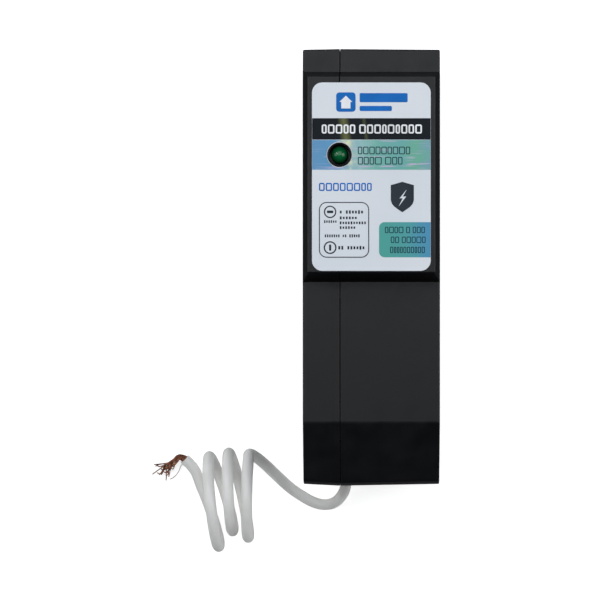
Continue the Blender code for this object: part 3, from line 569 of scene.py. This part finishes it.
def make_lamp():
    """A polished dome with a base collar, in a holder with a soft rim."""
    low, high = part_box("led_lens")
    centre = (low + high) / 2
    collar = (high.x - low.x) / 2
    radius = collar - COLLAR_STEP
    collar_top = low.z + COLLAR_HEIGHT
    profile = [(0.0, low.z), (collar, low.z), (collar, collar_top), (radius, collar_top)]
    for step in range(DOME_STEPS + 1):
        angle = math.pi / 2 * step / DOME_STEPS
        profile.append((radius * math.cos(angle), high.z - radius + radius * math.sin(angle)))
    profile[-1] = (0.0, high.z)
    lens = turned("lamp_lens", profile, (centre.x, centre.y, 0.0))
    add_piece("lamp_lens", lens, "led_green", replaces=("led_lens",))

    low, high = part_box("led_bezel")
    outer = (high.x - low.x) / 2
    bore, barrel, lip_z = radius + LAMP_GAP, outer - COLLAR_STEP, high.z - LIP_HEIGHT
    profile = [(bore, low.z), (barrel, low.z), (barrel, lip_z), (outer, lip_z),
               (outer, high.z), (bore, high.z)]
    bezel = turned("lamp_bezel", rounded(profile, TRIM_ROUND), (centre.x, centre.y, 0.0))
    add_piece("lamp_bezel", bezel, "trim_plastic", replaces=("led_bezel",))


# ---- label print ----------------------------------------------------------------------
INK_THICKNESS = 0.02 * MM
INK_GAP = 0.01 * MM
CORNER_STEPS = 6
DISC_STEPS = 40
LABEL_CORNER = 2.8
LABEL_MARGIN = 0.05                  # bare foil left outside the bands
LAMP_HOLE = 3.36                     # radius through the label
BAND_LAMP_HOLE = 3.55                # radius through the band printed round the lamp


class Ink:
    """Closed flat shapes of one ink.

    Places are (right, down) in millimetres from the label's top left corner, and layers are
    counted upwards from the foil.
    """

    def __init__(self, layer):
        low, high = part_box("rating_label")
        self.left, self.top = low.x, high.y
        self.low = high.z + INK_GAP + layer * (INK_THICKNESS + INK_GAP)
        self.high = self.low + INK_THICKNESS
        self.bm = bmesh.new()

    def ring(self, outline, z):
        return [self.bm.verts.new((self.left + u * MM, self.top - v * MM, z)) for u, v in outline]

    def walls(self, low, high):
        for index in range(len(low)):
            after = (index + 1) % len(low)
            self.bm.faces.new((low[index], low[after], high[after], high[index]))

    def solid(self, outline):
        """A filled outline."""
        low, high = self.ring(outline, self.low), self.ring(outline, self.high)
        self.bm.faces.new(low)
        self.bm.faces.new(high)
        self.walls(low, high)

    def outline(self, outer, inner):
        """The band between two outlines with the same number of points."""
        loops = [(self.ring(line, self.low), self.ring(line, self.high)) for line in (outer, inner)]
        (outer_low, outer_high), (inner_low, inner_high) = loops
        self.walls(outer_low, outer_high)
        self.walls(inner_low, inner_high)
        for first, second in ((outer_low, inner_low), (outer_high, inner_high)):
            self.walls(first, second)

    def bar(self, u0, v0, u1, v1, radius=0.0):
        self.solid(rounded_box(u0, v0, u1, v1, radius) if radius else
                   [(u0, v0), (u1, v0), (u1, v1), (u0, v1)])

    def frame_box(self, u0, v0, u1, v1, line, radius):
        inner = max(radius - line, 0.02)
        self.outline(rounded_box(u0, v0, u1, v1, radius),
                     rounded_box(u0 + line, v0 + line, u1 - line, v1 - line, inner))

    def circle_mark(self, u, v, radius, line):
        self.outline(disc(u, v, radius), disc(u, v, radius - line))

    def piece(self, name, material):
        return add_piece(name, mesh_from(self.bm, name), material)


def arc(u, v, radius, start, turn, steps):
    """steps + 1 points round (u, v), from the angle `start` through `turn`, in degrees."""
    angles = [math.radians(start + turn * step / steps) for step in range(steps + 1)]
    return [(u + radius * math.cos(angle), v + radius * math.sin(angle)) for angle in angles]


def disc(u, v, radius):
    return arc(u, v, radius, 0, 360, DISC_STEPS)[:-1]


def rounded_box(u0, v0, u1, v1, radius):
    """A box with four round corners."""
    corners = ((u1 - radius, v1 - radius, 0), (u0 + radius, v1 - radius, 90),
               (u0 + radius, v0 + radius, 180), (u1 - radius, v0 + radius, 270))
    return [point for u, v, start in corners for point in arc(u, v, radius, start, 90, CORNER_STEPS)]


def left_rounded_box(left, top, right, bottom, corner):
    """A box with round corners on its left side only."""
    lower = arc(left + corner, bottom - corner, corner, 90, 90, CORNER_STEPS)
    upper = arc(left + corner, top + corner, corner, 180, 90, CORNER_STEPS)
    return [(right, top), (right, bottom)] + lower + upper


def place_holder_line(ink, u0, v0, u1, v1, words, stroke, seed):
    """A line of text stood in for by small empty frames, which spell nothing.

    `words` gives the number of frames in each word.
    """
    dice = random.Random(seed)
    gap = stroke * 0.75
    space = (v1 - v0) * 0.42
    widths = [[dice.choice((0.8, 0.9, 1.0, 1.1, 1.2)) for _ in range(count)] for count in words]
    letters = sum(words)
    room = (u1 - u0) - gap * (letters - len(words)) - space * (len(words) - 1)
    unit = room / sum(sum(word) for word in widths)
    u = u0
    for word in widths:
        for width in word:
            end = u + width * unit
            ink.frame_box(u, v0, end, v1, stroke, stroke * 1.2)
            u = end + gap
        u += space - gap


def small_print_line(ink, u0, v_middle, u1, words, height):
    """Small print stood in for by rows of little upright blocks."""
    block = 0.6                          # of a letter's room; the rest is the gap after it
    letters = sum(words) + len(words) - 1
    unit = (u1 - u0) / (letters - 1 + block)
    dice = random.Random(letters)
    u = u0
    for word in words:
        for _ in range(word):
            half = height / 2 * dice.choice((0.75, 0.9, 1.0))
            ink.bar(u, v_middle - half, u + unit * block, v_middle + half)
            u += unit
        u += unit


def cut_round_hole(piece, centre, radius):
    """Cut a round hole through a flat piece and keep the result as its mesh."""
    depth = 2 * MM
    profile = [(0.0, -depth), (radius, -depth), (radius, depth), (0.0, depth)]
    cutter = bpy.data.objects.new("cutter", turned("cutter", profile, centre))
    bpy.context.scene.collection.objects.link(cutter)
    modifier = piece.modifiers.new("hole", "BOOLEAN")
    modifier.operation = "DIFFERENCE"
    modifier.object = cutter
    apply_modifiers(piece).shade_flat()
    bpy.data.objects.remove(cutter)


def make_label():
    """The foil with its lamp hole, two bands and a panel, and all that is printed on them."""
    low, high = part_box("rating_label")
    width, height = (high.x - low.x) / MM, (high.y - low.y) / MM
    right = width - LABEL_MARGIN
    lamp = box_centre("led_lens")
    hole_centre = (lamp.x, lamp.y, high.z)

    base = Ink(0)
    base.low, base.high = low.z, high.z
    base.bar(0.0, 0.0, width, height, LABEL_CORNER)
    piece = base.piece("printed_label", "label_foil")
    cut_round_hole(piece, hole_centre, LAMP_HOLE * MM)
    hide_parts("rating_label")

    heading_band = Ink(0)
    heading_band.bar(LABEL_MARGIN, 9.75, right, 15.6)
    heading_band.piece("label_heading_band", "ink_black")

    hologram_band = Ink(0)
    hologram_band.bar(LABEL_MARGIN, 15.7, right, 23.8)
    piece = hologram_band.piece("label_hologram_band", "hologram_foil")
    cut_round_hole(piece, hole_centre, BAND_LAMP_HOLE * MM)

    type_panel = Ink(0)
    type_panel.solid(left_rounded_box(18.3, 38.1, right, 47.7, 1.5))
    type_panel.piece("label_type_panel", "teal_foil")

    make_heading()
    make_emblem()
    make_lamp_text()
    make_rating_box()
    make_shield()
    make_panel_text()


def make_heading():
    heading = Ink(1)
    place_holder_line(heading, 2.65, 11.45, 30.0, 13.95, (5, 9), 0.42, 3)
    heading.piece("label_heading", "ink_white")


def make_emblem():
    """A plain emblem: a house outline on a square, beside two bars."""
    blue = Ink(0)
    blue.bar(6.6, 2.7, 11.9, 8.0, 0.9)
    blue.bar(13.0, 2.9, 26.1, 5.4, 0.35)
    blue.bar(13.0, 6.4, 21.8, 7.8, 0.35)
    place_holder_line(blue, 1.9, 27.4, 16.3, 29.6, (8,), 0.36, 11)
    blue.piece("label_blue_print", "ink_blue")
    white = Ink(1)
    house = [(9.25, 3.6), (11.0, 5.3), (10.5, 5.3), (10.5, 7.1), (8.0, 7.1), (8.0, 5.3), (7.5, 5.3)]
    white.solid(house)
    white.piece("label_house_mark", "ink_white")


def make_lamp_text():
    text = Ink(1)
    place_holder_line(text, 12.5, 17.5, 26.8, 19.6, (9,), 0.27, 21)
    place_holder_line(text, 12.5, 20.3, 24.7, 22.4, (4, 3), 0.27, 22)
    text.piece("label_lamp_text", "ink_grey")


def make_rating_box():
    """An outlined box of small print with two plain round marks."""
    box = Ink(0)
    box.frame_box(1.9, 32.6, 15.6, 47.8, 0.26, 2.1)
    box.circle_mark(4.95, 35.3, 1.7, 0.34)
    box.bar(4.1, 34.95, 5.8, 35.65, 0.2)
    box.circle_mark(4.95, 45.05, 1.75, 0.36)
    box.bar(4.65, 44.2, 5.25, 45.9, 0.2)
    small_print_line(box, 3.3, 37.95, 6.7, (6,), 0.8)
    small_print_line(box, 7.6, 35.35, 13.9, (1, 6), 1.0)
    small_print_line(box, 7.6, 36.95, 12.2, (6,), 0.8)
    small_print_line(box, 7.6, 38.3, 14.7, (10,), 0.8)
    small_print_line(box, 7.6, 39.6, 11.8, (6,), 0.8)
    small_print_line(box, 3.5, 41.85, 13.0, (7, 2, 5), 0.85)
    small_print_line(box, 7.2, 45.1, 14.3, (2, 6), 1.0)
    box.piece("label_rating_box", "ink_dark")


def make_shield():
    """A plain shield with a simple bolt across it."""
    right, middle = 27.8, 24.65
    shield = [(middle, 27.1), (right, 28.0), (right, 32.1)]
    for share in (0.25, 0.5, 0.75):
        shield.append((right - (right - middle) * share ** 1.7, 32.1 + 3.2 * share ** 0.85))
    shield.append((middle, 35.4))
    shield += [(2 * middle - u, v) for u, v in reversed(shield[1:-1])]
    dark = Ink(0)
    dark.solid(shield)
    dark.piece("label_shield", "ink_dark")
    bolt = [(25.9, 29.1), (23.9, 31.6), (24.75, 31.6), (23.6, 33.9), (25.7, 31.1), (24.8, 31.1)]
    silver = Ink(1)
    silver.solid(bolt)
    silver.piece("label_bolt", "label_foil")


def make_panel_text():
    text = Ink(1)
    lines = ((39.35, 41.1, 19.9, 30.8, (4, 1, 3), 31), (42.05, 43.8, 21.5, 31.0, (2, 5), 32),
             (44.8, 46.55, 21.3, 30.8, (10,), 33))
    for top, bottom, left, right, words, seed in lines:
        place_holder_line(text, left, top, right, bottom, words, 0.24, seed)
    text.piece("label_panel_text", "ink_teal_dark")


# ---- neutral lead ---------------------------------------------------------------------
WIRE_DIAMETER = 3.3 * MM
WIRE_RADIUS = WIRE_DIAMETER / 2
BUSHING_BORE = 1.95 * MM
BUSHING_BARREL = 2.5 * MM
BUSHING_LIP = 0.7 * MM

# Points that the wire passes, in millimetres: from the case to the loops, and after them.
LEAD_ROUTE = [
    (-7.5, -60.8, 10.6), (-7.5, -63.0, 10.6), (-8.0, -65.8, 9.6), (-9.6, -68.6, 7.2),
    (-11.9, -70.4, 4.6), (-14.8, -70.9, 2.8), (-18.1, -70.0, 1.9), (-21.3, -68.2, 1.75),
    (-25.0, -65.6, 1.75), (-29.1, -61.7, 2.5), (-32.1, -58.5, 4.8), (-34.7, -55.9, 9.0),
]
TAIL_ROUTE = [(-51.7, -65.0, 1.75), (-53.0, -61.5, 1.75), (-54.5, -59.2, 1.9), (-56.4, -57.2, 2.3)]
# The loops' turning points as (x, y) in millimetres, by turns on the bus side and the far side.
LOOP_ENDS = [
    (-36.2, -54.7), (-36.5, -79.3), (-42.4, -54.4), (-41.1, -77.4), (-48.2, -55.5), (-45.2, -82.0),
    (-54.6, -56.7),
]
LOOP_MIDDLE_Z = 14.0 * MM
LOOP_LOWEST_Z = 1.75 * MM
HALF_TURN_STEPS = 8
LAST_HALF_TURN_STEPS = 5             # the last one stops where it reaches the ground


def half_turn(number, share):
    """A point of one half turn: even ones pass over the top, odd ones along the ground."""
    (x0, y0), (x1, y1) = LOOP_ENDS[number], LOOP_ENDS[number + 1]
    angle = math.pi * share
    rise = abs(y0 - y1) / 2 * MM if number % 2 == 0 else LOOP_LOWEST_Z - LOOP_MIDDLE_Z
    across = ((x0 + x1) + (x0 - x1) * math.cos(angle)) / 2 * MM
    along = ((y0 + y1) + (y0 - y1) * math.cos(angle)) / 2 * MM
    return Vector((across, along, LOOP_MIDDLE_Z + rise * math.sin(angle)))


def coil_points():
    """The three loose loops, from the lead's end to the tail's start."""
    last = len(LOOP_ENDS) - 2
    points = []
    for number in range(last + 1):
        steps = LAST_HALF_TURN_STEPS if number == last else HALF_TURN_STEPS
        points += [half_turn(number, step / HALF_TURN_STEPS) for step in range(steps)]
    return points


def smooth_path(route, per_step=8):
    """Points along a centripetal Catmull-Rom curve through the route."""
    points = [Vector(point) for point in route]
    points = [2 * points[0] - points[1]] + points + [2 * points[-1] - points[-2]]
    fine = []
    for i in range(1, len(points) - 2):
        p0, p1, p2, p3 = points[i - 1:i + 3]
        t1 = (p1 - p0).length ** 0.5
        t2 = t1 + (p2 - p1).length ** 0.5
        t3 = t2 + (p3 - p2).length ** 0.5
        for k in range(per_step):
            t = t1 + (t2 - t1) * k / per_step
            a1 = p0.lerp(p1, t / t1)
            a2 = p1.lerp(p2, (t - t1) / (t2 - t1))
            a3 = p2.lerp(p3, (t - t2) / (t3 - t2))
            fine.append(a1.lerp(a2, t / t2).lerp(a2.lerp(a3, (t - t1) / (t3 - t1)), (t - t1) / (t2 - t1)))
    fine.append(points[-2])
    return fine


def curve_piece(name, paths, radius, material, resolution):
    """Round tubes along paths of close points, as one curve object."""
    data = bpy.data.curves.new(name, "CURVE")
    data.dimensions = "3D"
    data.bevel_depth = radius
    data.bevel_resolution = resolution
    data.use_fill_caps = True
    for path in paths:
        spline = data.splines.new("POLY")
        spline.points.add(len(path) - 1)
        spline.use_smooth = True
        for target, point in zip(spline.points, path):
            target.co = (*point, 1.0)
    piece = bpy.data.objects.new(name, data)
    bpy.context.scene.collection.objects.link(piece)
    data.materials.append(MATERIALS[material])
    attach(piece, "root")
    return piece


def make_wire():
    """The neutral lead in one run, its copper strands and its bushing."""
    lead = [tuple(value * MM for value in point) for point in LEAD_ROUTE]
    tail = [tuple(value * MM for value in point) for point in TAIL_ROUTE]
    path = smooth_path(lead + coil_points() + tail)
    wire = curve_piece("neutral_wire", [path], WIRE_RADIUS, "wire_insulation", 10)
    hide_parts("pigtail_lead", "pigtail_coil", "pigtail_tail")
    strands, stray = make_strands(path[-1], (path[-1] - path[-4]).normalized())

    low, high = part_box("wire_bushing")
    centre = (low + high) / 2
    flange, bore, barrel = (high.x - low.x) / 2, BUSHING_BORE, BUSHING_BARREL
    half = (high.y - low.y) / 2
    inner = half - BUSHING_LIP
    profile = [(bore, -half), (flange, -half), (flange, -inner), (barrel, -inner),
               (barrel, inner), (flange, inner), (flange, half), (bore, half)]
    bushing = turned("cable_bushing", rounded(profile, TRIM_ROUND), centre, "Y", 48)
    add_piece("cable_bushing", bushing, "trim_plastic", replaces=("wire_bushing",))


STRAND_COUNT = 19                    # one in the middle, six round it and twelve outside
STRAND_RADIUS = 0.17 * MM
STRAND_INSIDE = 1.5 * MM             # how far the strands reach into the insulation
STRAY_RADIUS = 0.11 * MM
TURN_TO_NEXT = 2.4                   # radians; spreads the strands evenly round their bundle
TWIST = 0.9                          # radians from one point of a strand to the next
STRAND_ROUTE = [(-58.0, -56.6, 2.8), (-59.3, -57.8, 3.0), (-61.0, -59.4, 2.8), (-62.6, -60.5, 2.3)]
STRAND_SPREAD = (0.75, 0.85, 1.25, 2.1)
STRAY_ROUTE = [(-57.6, -59.3, 1.2), (-58.4, -61.1, 0.8), (-59.8, -62.8, 0.5), (-61.2, -63.6, 0.4)]


def make_strands(end, direction):
    """Bare strands that leave the insulation together, kink and fan out, and one stray strand."""
    dice = random.Random(14)
    side = direction.cross(Vector((0.0, 0.0, 1.0))).normalized()
    up = side.cross(direction)
    paths = []
    for index in range(STRAND_COUNT):
        ring = 0.0 if index == 0 else (0.5 if index < 7 else 0.95)
        angle = TURN_TO_NEXT * index
        beside = (side * (ring * math.cos(angle)) + up * (ring * math.sin(angle))) * MM
        points = [end - direction * STRAND_INSIDE + beside, end + beside]
        for place, width in zip(STRAND_ROUTE, STRAND_SPREAD):
            twist = angle + TWIST * len(points)
            offset = Vector((ring * width * math.cos(twist) + dice.uniform(-0.18, 0.18) * width,
                             ring * width * math.sin(twist) + dice.uniform(-0.18, 0.18) * width,
                             ring * 0.75 * math.sin(twist + 1.0)))
            point = (Vector(place) + offset) * MM
            point.z = max(point.z, 2 * STRAND_RADIUS)
            points.append(point)
        last = points[-1] - points[-2]
        curl = Vector((dice.uniform(-0.7, 0.1), dice.uniform(-0.9, 0.9), dice.uniform(-0.5, 0.3))) * MM
        tip = points[-1] + last * dice.uniform(0.1, 0.55) + curl
        tip.z = max(tip.z, 2 * STRAND_RADIUS)
        points.append(tip)
        paths.append(smooth_path(points, 4))
    strands = curve_piece("copper_strands", paths, STRAND_RADIUS, "copper_strands", 3)
    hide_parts("stripped_strands")
    stray = [end - direction * 1.0 * MM - up * 0.8 * MM] + [Vector(place) * MM for place in STRAY_ROUTE]
    loose = curve_piece("stray_strand", [smooth_path(stray, 6)], STRAY_RADIUS, "bright_strand",
                        3)
    return strands, loose


# ---- CAD nodes that stay --------------------------------------------------------------
SOFT_EDGE = 0.2 * MM
SOFT_EDGE_SHARE = 0.18               # the most of a node's thinnest side
SOFT_FOLD = math.radians(50)


def finish_cad_nodes():
    """Give every kept CAD node its slot's material and slightly rounded edges."""
    for part in frame["record"]["subparts"]:
        node = NODES[part["node"]]
        node.data.materials.clear()
        node.data.materials.append(MATERIALS[part["material_slot"]])
        if node.hide_render:             # a piece of this script takes its place
            continue
        weld = node.modifiers.new("weld", "WELD")
        weld.merge_threshold = MERGE_DISTANCE
        bevel = node.modifiers.new("soft_edges", "BEVEL")
        bevel.width = min(SOFT_EDGE, min(node.dimensions) * SOFT_EDGE_SHARE)
        bevel.segments = 2
        bevel.limit_method = "ANGLE"
        bevel.angle_limit = SOFT_FOLD


# ---- studio ---------------------------------------------------------------------------
FLOOR_REACH = 1.5                    # from the floor's middle to its sides
FLOOR_DROP = 0.02 * MM               # below the object, so that faces don't coincide
# How bright the surroundings are from straight down (0) over the horizon (0.5) to straight up (1).
HORIZON = [(0.0, 0.02), (0.12, 0.04), (0.25, 0.3), (0.42, 0.3), (0.49, 0.03), (1.0, 0.02)]
SKY_TINT = (0.92, 0.96, 1.0)


def make_floor():
    """A plain white ground that gives off a little light, so that shadows stay faint.

    It is left out of glossy reflections, because the real object's dark sides show none of it.
    """
    bm = bmesh.new()
    bmesh.ops.create_grid(bm, x_segments=4, y_segments=4, size=FLOOR_REACH)
    mesh = mesh_from(bm, "floor")
    floor = bpy.data.objects.new("floor", mesh)
    floor.location = (0.0, 0.05, -FLOOR_DROP)
    bpy.context.scene.collection.objects.link(floor)
    shader = Shader("floor_white", (0.8, 0.8, 0.8), 0.9, Specular_IOR_Level=0.0, Emission_Strength=0.66)
    shader.set("Emission Color", (1.0, 1.0, 1.0, 1.0))
    shader.drift(shader.noise(3.0, 2.0), (0.79, 0.79, 0.79), (0.81, 0.81, 0.81))
    mesh.materials.append(shader.material)
    floor.visible_glossy = False


def area_light(name, place, target, size, radiance, colour=(1.0, 1.0, 1.0)):
    """A soft rectangular light of one radiance, pointed at a target."""
    data = bpy.data.lights.new(name, "AREA")
    data.shape = "RECTANGLE"
    data.size, data.size_y = size
    data.energy = radiance * size[0] * size[1] * math.pi
    data.color = colour
    light = bpy.data.objects.new(name, data)
    light.location = place
    light.rotation_euler = (Vector(target) - Vector(place)).to_track_quat("-Z", "Y").to_euler()
    bpy.context.scene.collection.objects.link(light)


def make_surroundings():
    """A faint grey all round, brightest below the horizon."""
    world = bpy.data.worlds.new("studio")
    bpy.context.scene.world = world
    world.use_nodes = True
    tree = world.node_tree
    place = tree.nodes.new("ShaderNodeTexCoord")
    parts = tree.nodes.new("ShaderNodeSeparateXYZ")
    height = tree.nodes.new("ShaderNodeMapRange")
    height.inputs["From Min"].default_value = -1.0
    ramp = tree.nodes.new("ShaderNodeValToRGB")
    elements = ramp.color_ramp.elements
    while len(elements) < len(HORIZON):
        elements.new(0.5)
    for element, (position, grey) in zip(elements, HORIZON):
        element.position = position
        element.color = (*tinted(SKY_TINT, grey), 1.0)
    tree.links.new(place.outputs["Generated"], parts.inputs["Vector"])
    tree.links.new(parts.outputs["Z"], height.inputs["Value"])
    tree.links.new(height.outputs["Result"], ramp.inputs["Fac"])
    tree.links.new(ramp.outputs["Color"], tree.nodes["Background"].inputs["Color"])
    tree.nodes["Background"].inputs["Strength"].default_value = 1.0


def make_studio():
    """Three big soft lights, over the bus end and on both sides, and a small bright one.

    The small one stands up on the left and glints on curved gloss.
    """
    make_surroundings()
    area_light("overhead", (0.0, 0.57, 1.25), (0.0, 0.57, 0.0), (1.6, 1.26), 1.85, (0.93, 0.97, 1.03))
    area_light("left", (-1.1, 0.1, 1.0), (0.0, 0.0, 0.0), (0.9, 0.9), 1.8)
    area_light("glint", (-0.7, 0.46, 1.2), (0.0, 0.0, 0.0), (0.12, 0.12), 60.0)
    area_light("right", (1.1, 0.1, 1.0), (0.0, 0.0, 0.0), (0.9, 0.9), 3.0)
    make_floor()
    view = bpy.context.scene.view_settings
    view.view_transform = "Standard"
    view.look = "None"


# ---- make everything ------------------------------------------------------------------
make_camera()
MATERIALS.update(make_materials())
make_wire()
make_case()
make_rivets()
make_lamp()
make_label()
finish_cad_nodes()
make_studio()
